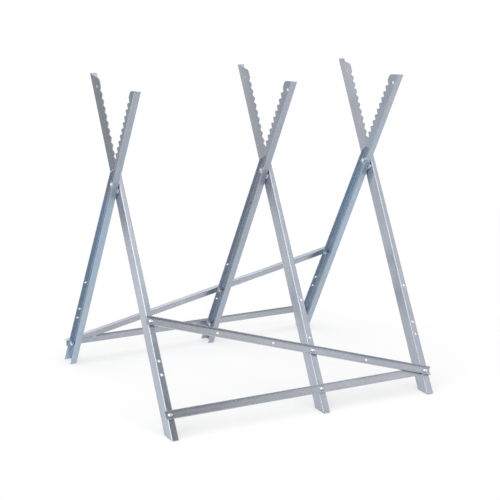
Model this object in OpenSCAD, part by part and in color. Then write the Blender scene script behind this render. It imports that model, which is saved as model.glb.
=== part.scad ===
// Log saw stand: three folding cross frames with toothed V arms, tied by lower and diagonal braces.
// Millimetres, +Z up, front towards -Y, origin on the floor below the middle of the stand.

/* [Stand] */
// Height of the arm tips above the floor
stand_height = 800; // [780:5:830]
// Distance from the left frame to the right frame
span = 719; // [660:1:770]
// Distance from the left frame to the middle frame
left_gap = 412; // [380:1:430]
// Lean of every leg from upright while the stand is open
leg_lean = 29; // [26:0.5:31]
// Distance along a leg from its foot to the fold pivot
pivot_along = 618; // [605:1:626]

/* [Legs] */
// Sheet thickness of the legs
leg_sheet = 1.5; // [1.2:0.1:1.8]
// Width of the leg web across its two flanges
web_width = 40; // [38:1:43]
// Width of the flange that runs from foot to tip
long_flange = 18; // [17:0.5:22]
// Width of the brace flange at the foot
brace_flange_foot = 18; // [17:0.5:20]
// Width of the brace flange at its upper end
brace_flange_top = 11; // [7:0.5:12]
// Distance the brace flange runs up past the pivot
brace_flange_past = 34; // [26:1:35]
// Outer bend radius of the leg sheet
leg_bend = 2.5; // [2.2:0.1:2.8]

/* [Arms] */
// Width of the flat strip that carries the teeth beyond the web
tooth_strip = 11; // [10:0.5:15]
// Spacing of the teeth along the arm
tooth_pitch = 19; // [16:0.5:22]
// Depth of the teeth
tooth_depth = 9; // [6:0.5:10]
// Height of the nearly level upper side of a tooth along the arm
tooth_ledge = 11; // [9:0.5:13]
// Width of the flat on the point of a tooth
tooth_flat = 2; // [1:0.2:3]
// Straight edge between the arm top and the first tooth
tip_land = 19; // [17:1:25]
// Gap between the end of the brace flange and the toothed strip, along the leg
strip_gap = 4; // [2:0.5:5]
// Length over which the lower end of the toothed strip slopes in
strip_slope = 5; // [3:0.5:7]
// Radius of the rounded inner corner at the arm top
tip_radius = 15; // [10:1:18]
// Fall of the arm top towards the inner side, from level
tip_fall = 6; // [0:1:10]
// Diameter of the hole near the arm top
tip_hole = 8; // [6:0.5:10]
// Distance of that hole below the arm top, along the arm
tip_hole_drop = 26; // [22:1:30]
// Distance of that hole from the outer edge of the arm
tip_hole_inset = 28; // [24:1:30]

/* [Braces] */
// Height of the brace web
brace_height = 21; // [18:0.5:22]
// Width of the brace lip
brace_lip = 8.5; // [6:0.5:10]
// Sheet thickness of the braces
brace_sheet = 1.5; // [1.2:0.1:1.8]
// Outer bend radius of the braces
brace_bend = 2.5; // [2.2:0.1:2.8]
// Length of a brace past its end bolt
brace_end = 13; // [11:0.5:15]
// Height of the lower bolt hole along the leg
low_hole = 40; // [34:1:46]
// Height of the upper bolt hole along the leg
high_hole = 268; // [240:1:280]
// Distance of the brace bolts from the outer web face
bolt_inset = 8.5; // [8.3:0.1:8.8]
// Distance of the spare hole from each end bolt of a diagonal
spare_hole = 172; // [150:1:190]

/* [Fasteners] */
// Diameter of the brace bolts
bolt_d = 6; // [5:0.5:6.5]
// Width across the flats of the brace nuts
bolt_af = 10; // [9:0.5:11]
// Diameter of the domed brace bolt heads
bolt_head_d = 11.5; // [10:0.5:12]
// Height of the brace bolt heads
bolt_head = 3.5; // [3:0.5:5]
// Width across the flats of the sockets in the brace bolt heads
socket_af = 4; // [3:0.5:5]
// Depth of the sockets in the brace bolt heads
socket_deep = 2; // [1.5:0.1:2.5]
// Height of the brace nuts
bolt_nut = 5; // [4:0.5:6]
// Length of the brace bolts below the head
bolt_length = 14; // [14:1:20]
// Diameter of the brace washers and spacers
washer_d = 12; // [11:0.5:13]
// Thickness of the flat washers
washer_t = 1.6; // [1.2:0.1:1.8]
// Diameter of the pivot bolts
pivot_d = 8; // [7:0.5:9]
// Width across the flats of the pivot bolts and nuts
pivot_af = 13; // [12:0.5:15]
// Height of the pivot bolt heads
pivot_head = 5.3; // [4.5:0.1:6]
// Height of the pivot nuts
pivot_nut = 8; // [6:0.5:9]
// Diameter of the pivot washers and of the spacers between the webs
pivot_washer_d = 17; // [15:0.5:18]
// Chamfer on the ends of the bolts
end_chamfer = 0.8; // [0.4:0.1:1.2]
// Length of thread that stands out of a pivot nut
thread_out = 2; // [1:0.5:3]
// Distance of the stop rivets below the pivots
stop_radius = 20; // [19:0.5:21]
// Diameter of the stop rivets
stop_d = 6; // [5:0.5:6.5]
// Diameter of the rivet heads
rivet_head_d = 9.6; // [8:0.2:10]
// Diameter of the flat end of a rivet head
rivet_face_d = 6.8; // [5:0.2:7.4]
// Height of the rivet heads
rivet_head = 2.4; // [1.6:0.2:3]
// Largest fold angle from the open stand
fold_angle = 55; // [40:1:56]

/* [Fits] */
// Radial clearance of a bolt in its hole
hole_clear = 0.3; // [0.2:0.05:0.4]
// Radial running clearance of the pivots
pivot_fit = 0.05; // [0.03:0.01:0.08]
// Radial clearance inside nuts and riveted holes
snug_fit = 0.02; // [0.01:0.01:0.04]
// Side play between pieces that turn against each other
side_play = 0.3; // [0.3:0.05:0.5]
// Thickness of the spacer between the crossing webs
spacer_t = 1; // [0.8:0.1:1.4]
// Gap between a diagonal and the lips of the lower brace under it
lip_clear = 0.6; // [0.4:0.1:1]

/* [Hidden] */
$fn = 48;

// Places of the three frames along X
right_gap = span - left_gap;
frame_x = [-span / 2, -span / 2 + left_gap, span / 2];
// Gap between the two webs of a frame
web_gap = spacer_t + side_play;
// Height of the fold pivot above the floor
pivot_z = pivot_along * cos(leg_lean) + web_width / 2 * sin(leg_lean);
// Width of an arm from its outer edge to the tooth points
arm_width = web_width + tooth_strip;
root_width = arm_width - tooth_depth;
// Outer top corner along the leg, slope of the arm top across the leg, and the inner top corner
top_along = stand_height / cos(leg_lean);
top_slope = leg_lean + tip_fall;
corner_along = top_along - arm_width * tan(top_slope);
first_tooth = corner_along - tip_land;
// Upper end of the brace flange and the lower end of the toothed strip
flange_end = pivot_along + brace_flange_past;
strip_start = flange_end + strip_gap;
// Teeth fill the strip from the arm top down to its sloping lower end
tooth_under = tooth_pitch - tooth_ledge;
tooth_count = floor((first_tooth - tooth_under - strip_start - strip_slope) / tooth_pitch);
last_root = first_tooth - tooth_count * tooth_pitch - tooth_under;
// Centre of the rounded inner corner of the arm top
corner_c = arm_width - tip_radius;
corner_s = top_along - corner_c * tan(top_slope) - tip_radius / cos(top_slope);
tip_hole_s = top_along - tip_hole_inset * tan(top_slope) - tip_hole_drop;
// The middle bolts of the two diagonals sit at different heights, as the frames are unevenly spaced
hole_fall = (high_hole - low_hole) * left_gap / span;
front_mid_hole = high_hole - hole_fall;
rear_mid_hole = low_hole + hole_fall;
leg_holes = [low_hole, front_mid_hole, rear_mid_hole, high_hole];
// Slope and length of a diagonal between its end bolts
diagonal_angle = atan2(high_hole - low_hole, span);
diagonal_length = sqrt(pow(high_hole - low_hole, 2) + pow(span, 2));
diagonal_mid = diagonal_length * left_gap / span;
diagonal_holes = [
    0, spare_hole, diagonal_length - diagonal_mid,
    diagonal_mid, diagonal_length - spare_hole, diagonal_length
];
// Lengths by which the lips of a lower brace stop short of the shared bolt, clear of the diagonal's edge
diagonal_half = brace_height / 2 / cos(diagonal_angle);
upper_cut = (diagonal_half + brace_height / 2 + lip_clear) / tan(diagonal_angle);
lower_cut = (diagonal_half - brace_height / 2 + brace_bend + lip_clear) / tan(diagonal_angle);
bolt_r = bolt_d / 2;
bolt_hole_r = bolt_r + hole_clear;
pivot_r = pivot_d / 2;
pivot_hole_r = pivot_r + pivot_fit;
stop_r = stop_d / 2;
// Reach of the cutting blocks, and the length by which a cutter stands out of a sheet
reach = 1.5 * stand_height;
cut_over = 1;

// The frame of a front leg: Z runs up the leg, -Y across it from the outer edge to the teeth
module leg_frame(x) {
    translate([x, 0, pivot_z])
        rotate([-leg_lean, 0, 0])
            translate([0, web_width / 2, -pivot_along])
                children();
}

// A front piece turned half a turn about the upright axis gives the matching rear piece
module rear_side() {
    rotate([0, 0, 180])
        children();
}

// L section of sheet with its outer corner at the origin, one side along +X, the other along -Y
module sheet_corner(side_x, side_y, t, r) {
    translate([r, -t])
        square([side_x - r, t]);
    translate([0, -side_y])
        square([t, side_y - r]);
    intersection() {
        translate([0, -r])
            square(r);
        translate([r, -r])
            difference() {
                circle(r);
                circle(r - t);
            }
    }
}

// Flat toothed arm plate, drawn in the Y and Z of the leg frame
module arm_outline() {
    inner = web_width / 2;
    top = corner_along + 2 * arm_width;
    teeth = [
        for (k = [1 : tooth_count])
            each [
                [-root_width, first_tooth - k * tooth_pitch + tooth_ledge],
                [-arm_width, first_tooth - k * tooth_pitch + tooth_flat / 2],
                [-arm_width, first_tooth - k * tooth_pitch - tooth_flat / 2]
            ]
    ];
    difference() {
        polygon(concat(
            [[-inner, flange_end - 2 * arm_width], [-inner, top]],
            [[-arm_width, top], [-arm_width, first_tooth]],
            teeth,
            [[-root_width, last_root], [-root_width, strip_start + strip_slope], [-web_width, strip_start]],
            [[-web_width, flange_end], [-web_width + leg_bend, flange_end]],
            [[-web_width + leg_bend, flange_end - 2 * arm_width]]
        ));
        translate([-corner_c, corner_s])
            difference() {
                rotate(top_slope)
                    translate([-3 * tip_radius, 0])
                        square([3 * tip_radius, 2 * tip_radius]);
                translate([-tip_radius, -3 * tip_radius])
                    square([reach, 3 * tip_radius]);
                circle(tip_radius);
            }
    }
}

// Brace flange below its bend, narrowing towards the top
module brace_flange() {
    polygon([
        [leg_bend, -arm_width],
        [brace_flange_foot, -arm_width],
        [brace_flange_top, flange_end - brace_flange_top],
        [leg_bend, flange_end]
    ]);
}

// Leg sheet without its holes, in the leg frame, flanges towards +X
module leg_sheet_shape() {
    difference() {
        union() {
            translate([0, 0, -arm_width])
                linear_extrude(corner_along + 2 * arm_width)
                    sheet_corner(long_flange, web_width / 2 + leg_bend, leg_sheet, leg_bend);
            translate([0, -web_width, -arm_width])
                linear_extrude(flange_end + arm_width)
                    mirror([0, 1, 0])
                        sheet_corner(leg_bend * 1.5, web_width / 2, leg_sheet, leg_bend);
            translate([0, leg_sheet - web_width, 0])
                rotate([90, 0, 0])
                    linear_extrude(leg_sheet)
                        brace_flange();
            rotate([90, 0, 90])
                linear_extrude(leg_sheet)
                    arm_outline();
        }
        rotate([leg_lean, 0, 0])
            translate([-reach, -reach, -reach])
                cube([2 * reach, 2 * reach, reach]);
        translate([0, 0, top_along])
            rotate([top_slope, 0, 0])
                translate([-reach, -reach, 0])
                    cube([2 * reach, 2 * reach, reach]);
    }
}

// Round hole through the web at a place across and along the leg
module web_hole(across, along, r) {
    translate([-cut_over, -across, along])
        rotate([0, 90, 0])
            cylinder(h = leg_sheet + 2 * cut_over, r = r);
}

// Leg with the holes that all six share
module drilled_leg() {
    difference() {
        leg_sheet_shape();
        web_hole(web_width / 2, pivot_along, pivot_hole_r);
        web_hole(tip_hole_inset, tip_hole_s, tip_hole / 2);
        for (along = leg_holes)
            translate([bolt_inset, cut_over - web_width + leg_sheet, along])
                rotate([90, 0, 0])
                    cylinder(h = leg_sheet + 2 * cut_over, r = bolt_hole_r);
    }
}

// Curved slot for the stop rivet about the pivot, as seen along the pivot, with straight ends
module stop_slot() {
    slot_r = stop_r + hole_clear;
    fan = 2 * stop_radius;
    end_angle = asin(slot_r / stop_radius);
    first = leg_lean - fold_angle - end_angle;
    last = leg_lean + end_angle;
    intersection() {
        difference() {
            circle(stop_radius + slot_r);
            circle(stop_radius - slot_r);
        }
        polygon([
            [0, 0],
            [fan * sin(first), -fan * cos(first)],
            [fan * sin((first + last) / 2), -fan * cos((first + last) / 2)],
            [fan * sin(last), -fan * cos(last)]
        ]);
    }
}

// Front leg: web on the right of the crossing, with the stop slot
module front_leg(k) {
    leg_frame(frame_x[k] + web_gap / 2)
        difference() {
            drilled_leg();
            translate([-cut_over, -web_width / 2, pivot_along])
                rotate([90, 0, 90])
                    linear_extrude(leg_sheet + 2 * cut_over)
                        stop_slot();
        }
}

// Rear leg: the same sheet turned about, with a hole for the stop rivet
module rear_leg(k) {
    rear_side()
        leg_frame(-frame_x[k] + web_gap / 2)
            difference() {
                drilled_leg();
                web_hole(
                    web_width / 2 - stop_radius * sin(leg_lean),
                    pivot_along - stop_radius * cos(leg_lean),
                    stop_r + snug_fit
                );
            }
}

// U section of a brace: web face on the origin's upright, both lips towards -X
module brace_section() {
    for (half = [0, 1])
        mirror([0, half])
            translate([0, brace_height / 2])
                mirror([1, 0])
                    sheet_corner(brace_lip, brace_height / 2, brace_sheet, brace_bend);
}

// Brace of a given length between its end bolts: X along it, web face on Y 0, lips towards -Y
module brace(length, holes) {
    difference() {
        translate([-brace_end, 0, 0])
            rotate([90, 0, 90])
                linear_extrude(length + 2 * brace_end)
                    brace_section();
        for (along = holes)
            translate([along, cut_over, 0])
                rotate([90, 0, 0])
                    cylinder(h = brace_sheet + 2 * cut_over, r = bolt_hole_r);
    }
}

// Place on the outer face of the front brace flanges: X along the stand, Z up the legs
module brace_face(out) {
    leg_frame(0)
        translate([web_gap / 2 + bolt_inset, -web_width - out, 0])
            children();
}

// Front lower brace with a given place of its middle bolt, both lips cut away where the diagonal lies on it
module front_lower(middle) {
    brace_face(0)
        translate([frame_x[0], 0, low_hole])
            difference() {
                brace(span, [0, middle, span]);
                lip_cut(upper_cut, 1);
                lip_cut(lower_cut, -1);
            }
}

// Block that takes one lip off the lower brace from its shared end inwards
module lip_cut(length, side) {
    height = brace_height / 2 - brace_bend;
    bottom = side > 0 ? height : -brace_height / 2 - cut_over;
    translate([span - length, -brace_lip - cut_over, bottom])
        cube([length + brace_end + cut_over, brace_lip + cut_over - brace_sheet, brace_bend + cut_over]);
}

// Front diagonal, one sheet further out so that it passes over the lower brace
module front_diagonal() {
    brace_face(brace_sheet)
        translate([frame_x[0], 0, high_hole])
            rotate([0, diagonal_angle, 0])
                brace(diagonal_length, diagonal_holes);
}

// Brace bolt places of one side: frame number, place along the leg, sheets outside the flange
front_bolts = [
    [0, high_hole, 2], [1, front_mid_hole, 2], [2, low_hole, 2], [0, low_hole, 1], [1, low_hole, 1]
];
rear_bolts = [
    [2, high_hole, 2], [1, rear_mid_hole, 2], [0, low_hole, 2], [2, low_hole, 1], [1, low_hole, 1]
];
front_spacers = [front_bolts[0], front_bolts[1]];
rear_spacers = [rear_bolts[0], rear_bolts[1]];

// Puts a piece on every listed bolt axis with -Z pointing outwards; side is 1 in front and -1 at the rear
module on_bolts(places, side, sheets) {
    for (p = places)
        brace_face(sheets * p[2] * brace_sheet)
            translate([side * frame_x[p[0]], 0, p[1]])
                rotate([-90, 0, 0])
                    children();
}

// Hexagon with chamfered outer corners
module hex_head(af, h) {
    corner = af / 2 / cos(30);
    intersection() {
        cylinder(h = h, r = corner, $fn = 6);
        cylinder(h = h, r1 = corner + h / 2, r2 = af / 2);
    }
}

// Domed head standing on the origin: a spherical cap with a hexagon socket
module dome_head(d, h) {
    ball = (d * d / 4 + h * h) / (2 * h);
    difference() {
        intersection() {
            translate([0, 0, h - ball])
                sphere(r = ball);
            translate([-d, -d, 0])
                cube([2 * d, 2 * d, 2 * h]);
        }
        translate([0, 0, h - socket_deep])
            cylinder(h = socket_deep + cut_over, r = socket_af / 2 / cos(30), $fn = 6);
    }
}

// Bolt shank upwards from the origin
module shank(d, length) {
    cylinder(h = length - end_chamfer, r = d / 2);
    translate([0, 0, length - end_chamfer])
        cylinder(h = end_chamfer, r1 = d / 2, r2 = d / 2 - end_chamfer);
}

// Hex bolt: head below the origin, shank upwards
module hex_bolt(d, af, head, length) {
    mirror([0, 0, 1])
        hex_head(af, head);
    shank(d, length);
}

// Bolt with a domed head below the origin, shank upwards
module dome_bolt(d, head_d, head, length) {
    mirror([0, 0, 1])
        dome_head(head_d, head);
    shank(d, length);
}

// Hex nut standing on the origin
module hex_nut(d, af, h) {
    difference() {
        hex_head(af, h);
        translate([0, 0, -cut_over])
            cylinder(h = h + 2 * cut_over, r = d / 2 + snug_fit);
    }
}

// Flat washer standing on the origin
module washer(r, hole, t) {
    difference() {
        cylinder(h = t, r = r);
        translate([0, 0, -cut_over])
            cylinder(h = t + 2 * cut_over, r = hole);
    }
}

// Brace bolts of one side, heads outside
module brace_bolts(places, side) {
    on_bolts(places, side, 1)
        translate([0, 0, -washer_t])
            rotate(30)
                dome_bolt(bolt_d, bolt_head_d, bolt_head, bolt_length);
}

module brace_washers(places, side) {
    on_bolts(places, side, 1)
        translate([0, 0, -washer_t])
            washer(washer_d / 2, bolt_hole_r, washer_t);
}

module brace_nuts(places, side) {
    on_bolts(places, side, 0)
        translate([0, 0, leg_sheet])
            rotate(30)
                hex_nut(bolt_d, bolt_af, bolt_nut);
}

// Spacers that keep a diagonal straight where no lower brace lies under it
module brace_spacers(places, side) {
    on_bolts(places, side, 0)
        translate([0, 0, -brace_sheet])
            washer(washer_d / 2, bolt_hole_r, brace_sheet);
}

// Puts a piece on every pivot axis, Z along +X, origin between the two webs
module on_pivots() {
    for (x = frame_x)
        translate([x, 0, pivot_z])
            rotate([0, 90, 0])
                children();
}

// Places along the pivot axis, from the front leg's web outwards and from the rear leg's web outwards
front_side = web_gap / 2 + leg_sheet;
nut_side = front_side + side_play + washer_t;
pivot_length = front_side + washer_t + nut_side + pivot_nut + thread_out;

module pivot_bolt_set() {
    on_pivots()
        translate([0, 0, front_side + washer_t])
            mirror([0, 0, 1])
                hex_bolt(pivot_d, pivot_af, pivot_head, pivot_length);
}

module pivot_head_washer_set() {
    on_pivots()
        translate([0, 0, front_side])
            washer(pivot_washer_d / 2, pivot_hole_r, washer_t);
}

module pivot_spacer_set() {
    on_pivots()
        translate([0, 0, web_gap / 2 - spacer_t])
            washer(pivot_washer_d / 2, pivot_hole_r, spacer_t);
}

module pivot_nut_washer_set() {
    on_pivots()
        translate([0, 0, -nut_side])
            washer(pivot_washer_d / 2, pivot_hole_r, washer_t);
}

module pivot_nut_set() {
    on_pivots()
        translate([0, 0, -nut_side])
            mirror([0, 0, 1])
                hex_nut(pivot_d, pivot_af, pivot_nut);
}

// Stop rivets, held by the rear legs, running in the slots of the front legs
module stop_rivet_set() {
    on_pivots()
        translate([stop_radius, 0, 0]) {
            translate([0, 0, -front_side])
                cylinder(h = 2 * front_side + side_play, r = stop_r);
            translate([0, 0, -front_side - rivet_head])
                cylinder(h = rivet_head, r1 = rivet_face_d / 2, r2 = rivet_head_d / 2);
            translate([0, 0, front_side + side_play])
                cylinder(h = rivet_head, r1 = rivet_head_d / 2, r2 = rivet_face_d / 2);
        }
}

module front_leg_left() {
    color([0.74, 0.76, 0.80])
        front_leg(0);
}

module front_leg_middle() {
    color([0.74, 0.76, 0.80])
        front_leg(1);
}

module front_leg_right() {
    color([0.74, 0.76, 0.80])
        front_leg(2);
}

module rear_leg_left() {
    color([0.66, 0.71, 0.78])
        rear_leg(0);
}

module rear_leg_middle() {
    color([0.66, 0.71, 0.78])
        rear_leg(1);
}

module rear_leg_right() {
    color([0.66, 0.71, 0.78])
        rear_leg(2);
}

module front_lower_brace() {
    color([0.68, 0.70, 0.74])
        front_lower(left_gap);
}

module front_diagonal_brace() {
    color([0.68, 0.70, 0.74])
        front_diagonal();
}

module rear_lower_brace() {
    color([0.68, 0.70, 0.74])
        rear_side()
            front_lower(right_gap);
}

module rear_diagonal_brace() {
    color([0.68, 0.70, 0.74])
        rear_side()
            front_diagonal();
}

module pivot_bolts() {
    color([0.80, 0.80, 0.82])
        pivot_bolt_set();
}

module pivot_head_washers() {
    color([0.80, 0.80, 0.82])
        pivot_head_washer_set();
}

module pivot_spacers() {
    color([0.80, 0.80, 0.82])
        pivot_spacer_set();
}

module pivot_nut_washers() {
    color([0.80, 0.80, 0.82])
        pivot_nut_washer_set();
}

module pivot_nuts() {
    color([0.80, 0.80, 0.82])
        pivot_nut_set();
}

module stop_rivets() {
    color([0.80, 0.80, 0.82])
        stop_rivet_set();
}

module front_brace_bolts() {
    color([0.80, 0.80, 0.82])
        brace_bolts(front_bolts, 1);
}

module front_brace_washers() {
    color([0.80, 0.80, 0.82])
        brace_washers(front_bolts, 1);
}

module front_brace_nuts() {
    color([0.80, 0.80, 0.82])
        brace_nuts(front_bolts, 1);
}

module front_brace_spacers() {
    color([0.80, 0.80, 0.82])
        brace_spacers(front_spacers, 1);
}

module rear_brace_bolts() {
    color([0.80, 0.80, 0.82])
        rear_side()
            brace_bolts(rear_bolts, -1);
}

module rear_brace_washers() {
    color([0.80, 0.80, 0.82])
        rear_side()
            brace_washers(rear_bolts, -1);
}

module rear_brace_nuts() {
    color([0.80, 0.80, 0.82])
        rear_side()
            brace_nuts(rear_bolts, -1);
}

module rear_brace_spacers() {
    color([0.80, 0.80, 0.82])
        rear_side()
            brace_spacers(rear_spacers, -1);
}

front_leg_left();
front_leg_middle();
front_leg_right();
rear_leg_left();
rear_leg_middle();
rear_leg_right();
front_lower_brace();
front_diagonal_brace();
rear_lower_brace();
rear_diagonal_brace();
pivot_bolts();
pivot_head_washers();
pivot_spacers();
pivot_nut_washers();
pivot_nuts();
stop_rivets();
front_brace_bolts();
front_brace_washers();
front_brace_nuts();
front_brace_spacers();
rear_brace_bolts();
rear_brace_washers();
rear_brace_nuts();
rear_brace_spacers();
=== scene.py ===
"""Log saw stand in galvanised sheet steel: finishes, threaded bolts and nuts, white studio and camera."""
import math

import bpy
import numpy as np
from mathutils import Matrix, Vector


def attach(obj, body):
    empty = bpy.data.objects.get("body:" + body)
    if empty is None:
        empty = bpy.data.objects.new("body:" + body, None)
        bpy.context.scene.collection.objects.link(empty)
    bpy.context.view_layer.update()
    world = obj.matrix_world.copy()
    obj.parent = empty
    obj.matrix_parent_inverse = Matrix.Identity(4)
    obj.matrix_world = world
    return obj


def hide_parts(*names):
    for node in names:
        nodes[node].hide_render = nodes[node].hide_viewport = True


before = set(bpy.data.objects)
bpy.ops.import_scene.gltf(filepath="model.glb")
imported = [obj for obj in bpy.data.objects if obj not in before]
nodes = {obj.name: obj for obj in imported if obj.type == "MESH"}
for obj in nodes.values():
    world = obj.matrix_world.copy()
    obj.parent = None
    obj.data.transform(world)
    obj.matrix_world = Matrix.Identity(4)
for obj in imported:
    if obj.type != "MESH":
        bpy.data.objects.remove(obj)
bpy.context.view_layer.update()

# Driving sizes of the stand, in millimetres and degrees, as the solids have them
LEG_LEAN = 29.0
PIVOT_ALONG = 618.0
WEB_WIDTH = 40.0
SPAN = 719.0
LEFT_GAP = 412.0
LEG_SHEET = 1.5
BRACE_SHEET = 1.5
WEB_GAP = 1.3
SIDE_PLAY = 0.3
WASHER = 1.6
LOW_HOLE = 40.0
HIGH_HOLE = 268.0
BOLT_INSET = 8.5
BRACE_BOLT = {"d": 6.0, "af": 10.0, "head_d": 11.5, "head": 3.5, "socket": 4.0, "deep": 2.0,
              "nut": 5.0, "length": 14.0, "pitch": 1.0}
PIVOT_BOLT = {"d": 8.0, "af": 13.0, "head": 5.3, "nut": 8.0, "pitch": 1.25, "out": 2.0}
END_CHAMFER = 0.8
NUT_PLAY = 0.02
MM = 0.001

# Fine shape of the fasteners, as shares of the pitch, the width across flats, the bolt and the socket
THREAD_DEPTH = 0.54
HEX_FACE = 0.47
HEX_CAP = 0.7
COUNTERSINK = 0.12
SOCKET_RIM = 1.03

# Small steps of the bolts, in millimetres: round the neck, under the head's edge and at the thread's end
NECK = 0.05
HEAD_EDGE = 0.3
THREAD_END = 0.1

# Points round a fastener, rings over a dome and in a turn of thread, and the angle of a sharp edge
ROUND = np.linspace(0, 2 * math.pi, 48, endpoint=False)
DOME_RINGS = 16
TURN_RINGS = 8
SHARP = math.radians(24)
THIRTY = math.pi / 6

LEFT, MIDDLE, RIGHT = 0, 1, 2
LEAN = math.radians(LEG_LEAN)
FRAME_X = (-SPAN / 2, -SPAN / 2 + LEFT_GAP, SPAN / 2)
PIVOT_Z = PIVOT_ALONG * math.cos(LEAN) + WEB_WIDTH / 2 * math.sin(LEAN)
HOLE_FALL = (HIGH_HOLE - LOW_HOLE) * LEFT_GAP / SPAN
DIAGONAL_SLOPE = math.atan2(HIGH_HOLE - LOW_HOLE, SPAN)

# Viewpoint of the photograph, fitted to the leg edges, in metres and degrees
VIEW_PLACE = (-1.708, -3.2516, 1.3329)
VIEW_YAW = -27.897
VIEW_PITCH = 15.064
VIEW_ROLL = 0.8315
VIEW_LENS = 106.14

# Studio light: the surroundings, and the broad lamp's width in degrees, power and direction
AIR_GLOW = 0.5
LAMP_WIDTH = 98
LAMP_POWER = 2.1
LAMP_FROM = (-0.48, -0.48, 0.85)
STAND_MIDDLE = (0, 0, 0.4)


class Val:
    """One output of a shader node; arithmetic on it adds Math nodes."""

    def __init__(self, finish, socket):
        self.finish = finish
        self.socket = socket

    def maths(self, operation, a, b):
        return self.finish.node("ShaderNodeMath", {"operation": operation}, {0: a, 1: b})

    def __add__(self, other):
        return self.maths("ADD", self, other)

    def __sub__(self, other):
        return self.maths("SUBTRACT", self, other)

    def __rsub__(self, other):
        return self.maths("SUBTRACT", other, self)

    def __mul__(self, other):
        return self.maths("MULTIPLY", self, other)

    __radd__ = __add__
    __rmul__ = __mul__


class Finish:
    """A material or world under construction, with one method that adds a node."""

    def __init__(self, owner):
        owner.use_nodes = True
        self.owner = owner
        self.tree = owner.node_tree
        self.tree.nodes.clear()

    def node(self, kind, settings, sockets, out=0):
        """Adds a node: settings first, then the values or links of its sockets; gives one of its outputs."""
        made = self.tree.nodes.new(kind)
        for key, value in settings.items():
            setattr(made, key, value)
        for key, value in sockets.items():
            if isinstance(value, Val):
                self.tree.links.new(value.socket, made.inputs[key])
            else:
                made.inputs[key].default_value = value
        return Val(self, made.outputs[out]) if made.outputs else None

    def span(self, value, low, high):
        """0 below low, 1 above high, straight between."""
        return self.node("ShaderNodeMapRange", {}, {"Value": value, "From Min": low, "From Max": high})

    def mix(self, amount, a, b):
        """Colour a towards colour b."""
        return self.node("ShaderNodeMix", {"data_type": "RGBA"}, {0: amount, 6: a, 7: b}, 2)

    def noise(self, place, scale, detail, roughness=0.5):
        """Soft noise over a place."""
        return self.node("ShaderNodeTexNoise", {}, {
            "Vector": place, "Scale": scale, "Detail": detail, "Roughness": roughness})

    def turned_away(self, eased):
        """0 on flat places and 1 on edges, where the eased normal leaves the plain one."""
        plain = self.node("ShaderNodeNewGeometry", {}, {}, "Normal")
        product = {"operation": "DOT_PRODUCT"}
        facing = self.node("ShaderNodeVectorMath", product, {0: plain, 1: eased}, "Value")
        return self.span(1.0 - facing, 0.02, 0.22)

    def surface(self, shader):
        """Ends the material with its shader."""
        self.node("ShaderNodeOutputMaterial", {}, {"Surface": shader})


def colour(red, green, blue):
    """A colour socket's value."""
    return (red, green, blue, 1.0)


WHITE = colour(1.0, 1.0, 1.0)
BLUISH = colour(0.36, 0.48, 0.60)
BRIGHT_ZINC = colour(0.74, 0.78, 0.84)
SCUFF_GREY = colour(0.22, 0.23, 0.26)
WORN_ZINC = colour(0.78, 0.80, 0.84)
POLISHED = colour(0.95, 0.95, 0.96)


def rolled_zinc(name, light, dark, rough, metal, bend, blue, run):
    """Galvanised sheet: zinc spangle, streaks along the rolling direction, dull clouds, bright worn edges.

    run turns the part's own axes so that the rolling direction lies along X. bend is the radius over which
    the light runs round the bends. blue is the strength of the bluish clouds, weaker above the crossing.
    """
    zinc = Finish(bpy.data.materials.new(name))
    place = zinc.node("ShaderNodeTexCoord", {}, {}, "Object")
    along = zinc.node("ShaderNodeMapping", {}, {"Vector": place, "Rotation": run})
    flat = zinc.node("ShaderNodeMapping", {}, {"Vector": along, "Scale": (0.55, 1.0, 1.0)})
    drawn = zinc.node("ShaderNodeMapping", {}, {"Vector": along, "Scale": (5.0, 420.0, 420.0)})
    broad = zinc.node("ShaderNodeMapping", {}, {"Vector": along, "Scale": (4.0, 90.0, 90.0)})
    cell = zinc.node("ShaderNodeTexVoronoi", {"feature": "F1"}, {"Vector": flat, "Scale": 130.0}, "Color")
    spangle = zinc.node("ShaderNodeSeparateColor", {}, {"Color": cell}, "Red")
    streak = zinc.noise(drawn, 1.0, 3.0)
    band = zinc.noise(broad, 1.0, 4.0, 0.6)
    cloud = zinc.noise(flat, 9.0, 4.0, 0.6)
    haze = zinc.noise(flat, 5.0, 2.0)
    fine = zinc.noise(flat, 900.0, 2.0)
    scuff = zinc.noise(drawn, 0.6, 8.0, 0.75)
    eased = zinc.node("ShaderNodeBevel", {"samples": 8}, {"Radius": 0.0006})
    rounded = zinc.node("ShaderNodeBevel", {"samples": 12}, {"Radius": bend})
    worn = zinc.turned_away(eased)
    dull = zinc.span(0.6 * cloud + 0.4 * band, 0.40, 0.62)
    height = zinc.node("ShaderNodeSeparateXYZ", {}, {"Vector": place}, "Z")
    low = 1.0 - zinc.span(height, 0.46, 0.66)
    base = zinc.mix(dull, light, dark)
    base = zinc.mix(blue * (0.25 + 0.75 * low) * zinc.span(haze, 0.22, 0.62), base, BLUISH)
    base = zinc.mix(0.06 * spangle + 0.16 * zinc.span(band, 0.45, 0.75), base, BRIGHT_ZINC)
    base = zinc.mix(0.22 * zinc.span(scuff, 0.60, 0.72), base, SCUFF_GREY)
    base = zinc.mix(0.6 * worn, base, WORN_ZINC)
    grain = rough + 0.08 * dull + 0.03 * spangle - 0.05 * streak - 0.08 * worn
    bump = zinc.node("ShaderNodeBump", {}, {
        "Strength": 0.03, "Distance": 0.0004, "Height": 0.5 * fine + 0.3 * streak, "Normal": rounded})
    zinc.surface(zinc.node("ShaderNodeBsdfPrincipled", {}, {
        "Base Color": base, "Roughness": grain, "Metallic": metal, "Normal": bump}))
    return zinc.owner


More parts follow.
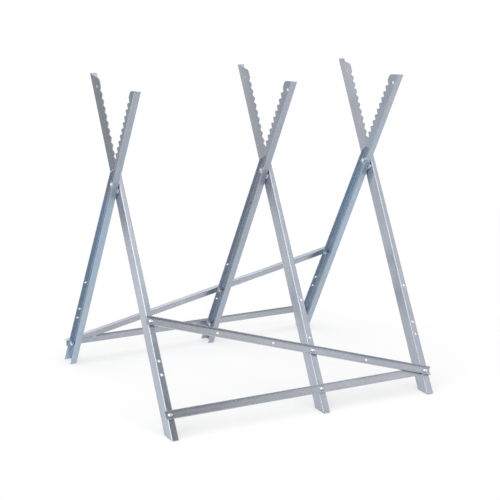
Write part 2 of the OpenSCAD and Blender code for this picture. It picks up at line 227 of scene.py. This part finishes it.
def plated_steel(name, light, dark, rough):
    """Zinc plated fasteners: bright, fine turned grain, dirt in a few patches and polished edges."""
    plate = Finish(bpy.data.materials.new(name))
    place = plate.node("ShaderNodeTexCoord", {}, {}, "Object")
    grain = plate.noise(place, 1500.0, 3.0)
    grey = plate.span(plate.noise(place, 160.0, 5.0), 0.45, 0.75)
    eased = plate.node("ShaderNodeBevel", {"samples": 6}, {"Radius": 0.0004})
    base = plate.mix(grey, light, dark)
    base = plate.mix(0.5 * plate.turned_away(eased), base, POLISHED)
    bump = plate.node("ShaderNodeBump", {}, {
        "Strength": 0.08, "Distance": 0.0002, "Height": grain, "Normal": eased})
    plate.surface(plate.node("ShaderNodeBsdfPrincipled", {}, {
        "Base Color": base, "Roughness": rough + 0.12 * grey + 0.05 * grain, "Metallic": 1.0,
        "Normal": bump}))
    return plate.owner


def run_along(*turns):
    """Rotation that carries a part's rolling direction onto X; turns are (axis, angle) from X outwards."""
    matrix = Matrix.Identity(3)
    for axis, angle in turns:
        matrix = Matrix.Rotation(angle, 3, axis) @ matrix
    return matrix.transposed().to_euler()


def dress(names, material):
    """Gives CAD nodes their finish."""
    for name in names:
        slots = nodes[name].data.materials
        slots.clear()
        slots.append(material)


def finishes():
    """Dresses the legs, the braces and the fasteners; gives the fasteners' material."""
    legs = {
        "front": {"light": colour(0.45, 0.475, 0.535), "dark": colour(0.36, 0.38, 0.43),
                  "rough": 0.22, "metal": 0.85, "bend": 0.002},
        "rear": {"light": colour(0.39, 0.42, 0.48), "dark": colour(0.36, 0.39, 0.45),
                 "rough": 0.32, "metal": 0.78, "bend": 0.002}}
    leg_blue = {
        "front": {"left": 0.2, "middle": 0.2, "right": 0.2},
        "rear": {"left": 0.9, "middle": 0.35, "right": 0.9}}
    bar = {"light": colour(0.45, 0.47, 0.52), "dark": colour(0.36, 0.375, 0.415),
           "rough": 0.24, "metal": 0.85, "bend": 0.001, "blue": 0.2}
    up = ("Y", -math.pi / 2)
    for side, lean, slope in (("front", -LEAN, DIAGONAL_SLOPE), ("rear", LEAN, -DIAGONAL_SLOPE)):
        leaning = ("X", lean)
        for place, blue in leg_blue[side].items():
            steel = rolled_zinc(f"galvanised {side} leg {place}", **legs[side], blue=blue,
                                run=run_along(up, leaning))
            dress([f"{side}_leg_{place}"], steel)
        level = rolled_zinc(f"galvanised {side} lower brace", **bar, run=run_along(leaning))
        dress([f"{side}_lower_brace"], level)
        slant = rolled_zinc(f"galvanised {side} diagonal", **bar, run=run_along(("Y", slope), leaning))
        dress([f"{side}_diagonal_brace"], slant)
    plated = plated_steel("zinc plated fasteners", colour(0.80, 0.81, 0.83), colour(0.52, 0.53, 0.55), 0.20)
    fasteners = ("washers", "spacers", "rivets", "bolts", "nuts")
    dress([name for name in nodes if name.endswith(fasteners)], plated)
    return plated


def hexagon(theta, flats):
    """Distance from the axis to the sides of a hexagon with the given width across flats, at angles theta."""
    to_flat = (theta + THIRTY) % (2 * THIRTY) - THIRTY
    return flats / 2 / np.cos(to_flat)


def chamfer(flats):
    """Corner radius of a hexagon, radius of its chamfered face, and the height of the 30 degree chamfer."""
    corner = flats / 2 / math.cos(THIRTY)
    face = HEX_FACE * flats
    return corner, face, (corner - face) * math.tan(THIRTY)


def thread_radius(z, theta, top, bottom, d, pitch):
    """Thread between two heights.

    The radius dips by a share of the pitch once a turn, in a rounded V that climbs with theta.
    """
    turn = z / pitch - theta / (2 * math.pi)
    dip = THREAD_DEPTH * pitch * (0.5 - 0.5 * np.cos(2 * math.pi * turn))
    fade = np.clip((z - bottom) / pitch, 0, 1) * np.clip((top - z) / pitch, 0, 1)
    return d / 2 - dip * fade


def ring_faces(rings, around, joined=False):
    """Quads between neighbouring rings of points; joined also ties the last ring to the first."""
    ring, spot = np.meshgrid(np.arange(rings if joined else rings - 1), np.arange(around), indexing="ij")
    following = (spot + 1) % around
    here = ring * around
    above = (ring + 1) % rings * around
    return np.stack((here + spot, here + following, above + following, above + spot), -1).reshape(-1, 4)


def turned(radius, z, joined=False):
    """Points and faces of rings with radius[ring, angle] at heights z[ring].

    A joined profile closes on itself; otherwise a flat cap closes the first and the last ring.
    """
    around = len(ROUND)
    height = np.repeat(z[:, None], around, 1)
    points = np.stack([radius * np.cos(ROUND), radius * np.sin(ROUND), height], -1)
    faces = ring_faces(len(z), around, joined)
    spots = np.arange(around)
    caps = [] if joined else [spots[None, ::-1], (len(z) - 1) * around + spots[None, :]]
    return points.reshape(-1, 3), [faces, *caps]


def hex_head(size):
    """Rings of a hex head below Z 0: the radius is the smaller of the hexagon and a chamfer cone."""
    corner, face, drop = chamfer(size["af"])
    top = -size["head"]
    head = np.array([[top, HEX_CAP * face], [top, face], [top + drop / 2, (corner + face) / 2],
                     [top + drop, corner], [-HEAD_EDGE, corner], [0.0, corner - HEAD_EDGE],
                     [0.0, size["d"] / 2 + NECK]])
    return head[:, 0], np.minimum(head[:, 1:], hexagon(ROUND, size["af"])[None, :])


def dome_head(size):
    """Rings of a domed head below Z 0, from the floor of its hexagon socket over the dome to the underside.

    The dome is a cap of a ball, whose radius is the sum of the squares of the head's radius and height,
    over twice the height.
    """
    out, high = size["head_d"] / 2, size["head"]
    ball = (out ** 2 + high ** 2) / (2 * high)
    reach = np.linspace(SOCKET_RIM * size["socket"] / 2 / math.cos(THIRTY), out, DOME_RINGS)
    dome = ball - high - np.sqrt(ball ** 2 - reach ** 2)
    socket = hexagon(ROUND, size["socket"])
    bottom = size["deep"] - high
    z = np.concatenate([[bottom, bottom, dome[0]], dome, [0.0]])
    rings = np.concatenate([reach, [size["d"] / 2 + NECK]])[:, None] * np.ones_like(ROUND)
    return z, np.concatenate([[np.full_like(ROUND, size["socket"] / 4), socket, socket], rings])


def bolt_surface(head, size, shank, threaded):
    """Bolt, head below Z 0: rings from the head's middle to the bolt's end.

    Along the shank the radius is the plain one or the thread.
    """
    height, radius = head(size)
    plain = size["d"] / 2
    top = shank - END_CHAMFER
    start = shank - threaded
    steps = np.arange(0, top, size["pitch"] / TURN_RINGS)
    z = np.concatenate([height, steps, [top, shank]])
    thread = thread_radius(steps[:, None], ROUND[None, :], top, start, size["d"], size["pitch"])
    body = np.where(steps[:, None] < start, plain, thread)
    tail = np.array([plain - THREAD_END, plain - END_CHAMFER])[:, None] * np.ones_like(ROUND)
    return turned(np.concatenate([radius, body, tail]), z)


def nut_surface(size):
    """Hex nut standing on Z 0: bore, countersinks and chamfered hexagon as one closed profile about Z."""
    corner, face, drop = chamfer(size["af"])
    bore = size["d"] / 2 + NUT_PLAY
    high = size["nut"]
    sink = COUNTERSINK * size["d"]
    half = (corner + face) / 2
    profile = np.array([[sink, bore], [0, bore + sink], [0, face], [drop / 2, half], [drop, corner],
                        [high - drop, corner], [high - drop / 2, half], [high, face],
                        [high, bore + sink], [high - sink, bore]])
    radius = np.minimum(profile[:, 1:], hexagon(ROUND, size["af"])[None, :])
    return turned(radius, profile[:, 0], joined=True)


def linked(name, data):
    """A new object of the scene."""
    made = bpy.data.objects.new(name, data)
    bpy.context.scene.collection.objects.link(made)
    return made


def piece(name, surface, places, replaced, body, material):
    """One object with a copy of the surface at every place, riding on a body in the stead of a CAD node."""
    points, patches = surface
    placed = [points @ np.array(place.to_3x3()).T + np.array(place.translation) for place in places]
    faces = [(patch + k * len(points)).tolist() for k in range(len(places)) for patch in patches]
    mesh = bpy.data.meshes.new(name)
    mesh.from_pydata(np.concatenate(placed) * MM, [], sum(faces, []))
    mesh.update()
    mesh.shade_smooth()
    mesh.set_sharp_from_angle(angle=SHARP)
    mesh.materials.append(material)
    made = linked(name, mesh)
    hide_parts(replaced)
    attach(made, body)


def brace_spots(rear):
    """Places of the brace bolts of one side in the legs' own axes, and the brace sheets under each head."""
    middle = LOW_HOLE + HOLE_FALL if rear else HIGH_HOLE - HOLE_FALL
    high_end, low_end = (RIGHT, LEFT) if rear else (LEFT, RIGHT)
    listed = [(high_end, HIGH_HOLE, 2), (MIDDLE, middle, 2), (low_end, LOW_HOLE, 2),
              (high_end, LOW_HOLE, 1), (MIDDLE, LOW_HOLE, 1)]
    sign = -1 if rear else 1
    half_turn = Matrix.Rotation(math.pi if rear else 0.0, 4, "Z")
    leaning = Matrix.Translation((0, 0, PIVOT_Z)) @ Matrix.Rotation(-LEAN, 4, "X")
    for k, along, sheets in listed:
        across = sign * FRAME_X[k] + WEB_GAP / 2 + BOLT_INSET
        leg = leaning @ Matrix.Translation((across, -WEB_WIDTH / 2, along - PIVOT_ALONG))
        yield half_turn @ leg @ Matrix.Rotation(-math.pi / 2, 4, "X"), sheets


def lifted(place, height):
    """A place moved along its own Z."""
    return place @ Matrix.Translation((0, 0, height))


def bolt_set(side, material):
    """Threaded bolts and nuts of the front or the rear braces."""
    spots = list(brace_spots(side == "rear"))
    heads = [lifted(place, -sheets * BRACE_SHEET - WASHER) for place, sheets in spots]
    nuts = [lifted(place, LEG_SHEET) for place, sheets in spots]
    shank = BRACE_BOLT["length"]
    body = f"{side}_half"
    piece(f"{side}_brace_bolts_threaded", bolt_surface(dome_head, BRACE_BOLT, shank, shank - WASHER), heads,
          f"{side}_brace_bolts", body, material)
    piece(f"{side}_brace_nuts_chamfered", nut_surface(BRACE_BOLT), nuts,
          f"{side}_brace_nuts", body, material)


def pivot_set(material):
    """Threaded pivot bolts and their nuts, heads towards +X."""
    web = WEB_GAP / 2 + LEG_SHEET
    nut_at = web + SIDE_PLAY + WASHER
    threaded = PIVOT_BOLT["nut"] + PIVOT_BOLT["out"]
    shank = web + WASHER + nut_at + threaded
    turn = Matrix.Rotation(-math.pi / 2, 4, "Y") @ Matrix.Rotation(THIRTY, 4, "Z")
    heads = [Matrix.Translation((x + web + WASHER, 0, PIVOT_Z)) @ turn for x in FRAME_X]
    nuts = [Matrix.Translation((x - nut_at, 0, PIVOT_Z)) @ turn for x in FRAME_X]
    piece("pivot_bolts_threaded", bolt_surface(hex_head, PIVOT_BOLT, shank, threaded), heads,
          "pivot_bolts", "front_half", material)
    piece("pivot_nuts_chamfered", nut_surface(PIVOT_BOLT), nuts, "pivot_nuts", "front_half", material)


def stage_sheet(name, points, faces, finish):
    """Floor, wall or board of the studio, which isn't part of the stand."""
    mesh = bpy.data.meshes.new(name)
    mesh.from_pydata(points, [], faces)
    mesh.materials.append(finish.owner)
    made = linked(name, mesh)
    return made


def glowing(name, tint, strength):
    """A finish that shines evenly."""
    finish = Finish(bpy.data.materials.new(name))
    finish.surface(finish.node("ShaderNodeEmission", {}, {"Color": tint, "Strength": strength}))
    return finish


def floor(size=40.0, drop=0.0004, near=0.8, far=2.2, least=0.52):
    """Plain white studio floor that keeps the stand's shadow; a square sheet just under the feet.

    To the camera, in gloss and through glass it is part matt and part white, and all white from far on.
    """
    paper = Finish(bpy.data.materials.new("floor paper"))
    seen = paper.node("ShaderNodeLightPath", {}, {}, "Is Camera Ray")
    gloss = paper.node("ShaderNodeLightPath", {}, {}, "Is Glossy Ray")
    through = paper.node("ShaderNodeLightPath", {}, {}, "Is Transmission Ray")
    matt = paper.node("ShaderNodeBsdfDiffuse", {}, {"Color": colour(0.98, 0.98, 0.98)})
    white = paper.node("ShaderNodeEmission", {}, {"Color": WHITE, "Strength": 1.0})
    place = paper.node("ShaderNodeTexCoord", {}, {}, "Object")
    away = paper.node("ShaderNodeVectorMath", {"operation": "LENGTH"}, {0: place}, "Value")
    share = (least + (1.0 - least) * paper.span(away, near, far)) * (seen + gloss + through)
    paper.surface(paper.node("ShaderNodeMixShader", {}, {0: share, 1: matt, 2: white}))
    side = np.array([-0.5, 0.5]) * size
    x, y = np.meshgrid(side, side)
    points = np.stack([x.ravel(), y.ravel(), np.full(x.size, -drop)], -1)
    stage_sheet("floor", points, [(0, 1, 3, 2)], paper)


def backdrop(radius=19.5, low=-0.05, high=8.95):
    """White wall behind the floor: a circle of points at the floor and one above it, joined by quads."""
    ring = radius * np.stack([np.cos(ROUND), np.sin(ROUND)], -1)
    foot, top = (np.column_stack([ring, np.full(len(ROUND), z)]) for z in (low, high))
    faces = ring_faces(2, len(ROUND)).tolist()
    wall = stage_sheet("backdrop", np.concatenate([foot, top]), faces, glowing("backdrop paper", WHITE, 1.0))
    wall.visible_diffuse = False
    wall.visible_shadow = False


def flag(name, left, right, low, high, glow):
    """Dark upright board between two points of the floor plan, seen only in the stand's reflections."""
    corners = np.column_stack([[left, right, right, left], [low, low, high, high]])
    board = stage_sheet(name, corners, [(0, 1, 2, 3)], glowing(name, colour(0.98, 0.99, 1.0), glow))
    board.visible_camera = False
    board.visible_diffuse = False
    board.visible_shadow = False


def softbox(name, place, wide, high, watts, lights_all):
    """A broad rectangular lamp turned towards the stand; it lights everything or only shows in gloss."""
    lamp = bpy.data.lights.new(name, "AREA")
    lamp.shape = "RECTANGLE"
    lamp.size = wide
    lamp.size_y = high
    lamp.energy = watts
    made = linked(name, lamp)
    made.location = place
    made.rotation_euler = (Vector(place) - Vector(STAND_MIDDLE)).to_track_quat("Z", "Y").to_euler()
    made.visible_camera = False
    made.visible_diffuse = lights_all


def soft_light():
    """Even pale surroundings, a broad lamp from the front left, and softboxes and boards for the gloss."""
    world = bpy.data.worlds.new("studio")
    bpy.context.scene.world = world
    air = Finish(world)
    glow = air.node("ShaderNodeBackground", {}, {"Color": WHITE, "Strength": AIR_GLOW})
    air.node("ShaderNodeOutputWorld", {}, {"Surface": glow})
    lamp = bpy.data.lights.new("broad lamp", "SUN")
    lamp.angle = math.radians(LAMP_WIDTH)
    lamp.energy = LAMP_POWER
    linked("broad lamp", lamp).rotation_euler = Vector(LAMP_FROM).to_track_quat("Z", "Y").to_euler()
    softbox("front softbox", (1.35, -2.0, 2.2), wide=2.4, high=2.4, watts=8, lights_all=True)
    softbox("left softbox", (-2.3, -1.0, 0.95), wide=3.4, high=1.6, watts=22, lights_all=False)
    flag("rear flag", left=(-2.2, 1.5), right=(-0.72, 1.5), low=0.03, high=1.3, glow=0.32)
    flag("front flag", left=(-0.7, -1.8), right=(0.62, -1.8), low=0.2, high=1.57, glow=0.08)


def camera():
    """Camera at the photograph's viewpoint: yaw about Z, pitch down, then a small roll about the view."""
    yaw, pitch, roll = (math.radians(v) for v in (VIEW_YAW, VIEW_PITCH, VIEW_ROLL))
    back = Vector((math.sin(yaw) * math.cos(pitch), -math.cos(yaw) * math.cos(pitch), math.sin(pitch)))
    right = Vector((math.cos(yaw), math.sin(yaw), 0))
    level = Matrix((right, back.cross(right), back)).transposed()
    data = bpy.data.cameras.new("camera")
    data.lens = VIEW_LENS
    data.sensor_width = 36.0
    data.clip_end = 100.0
    made = linked("camera", data)
    made.matrix_world = Matrix.Translation(VIEW_PLACE) @ (level @ Matrix.Rotation(roll, 3, "Z")).to_4x4()
    bpy.context.scene.camera = made


plated = finishes()
pivot_set(plated)
for side in ("front", "rear"):
    bolt_set(side, plated)
floor()
backdrop()
soft_light()
camera()
bpy.context.scene.view_settings.view_transform = "Standard"
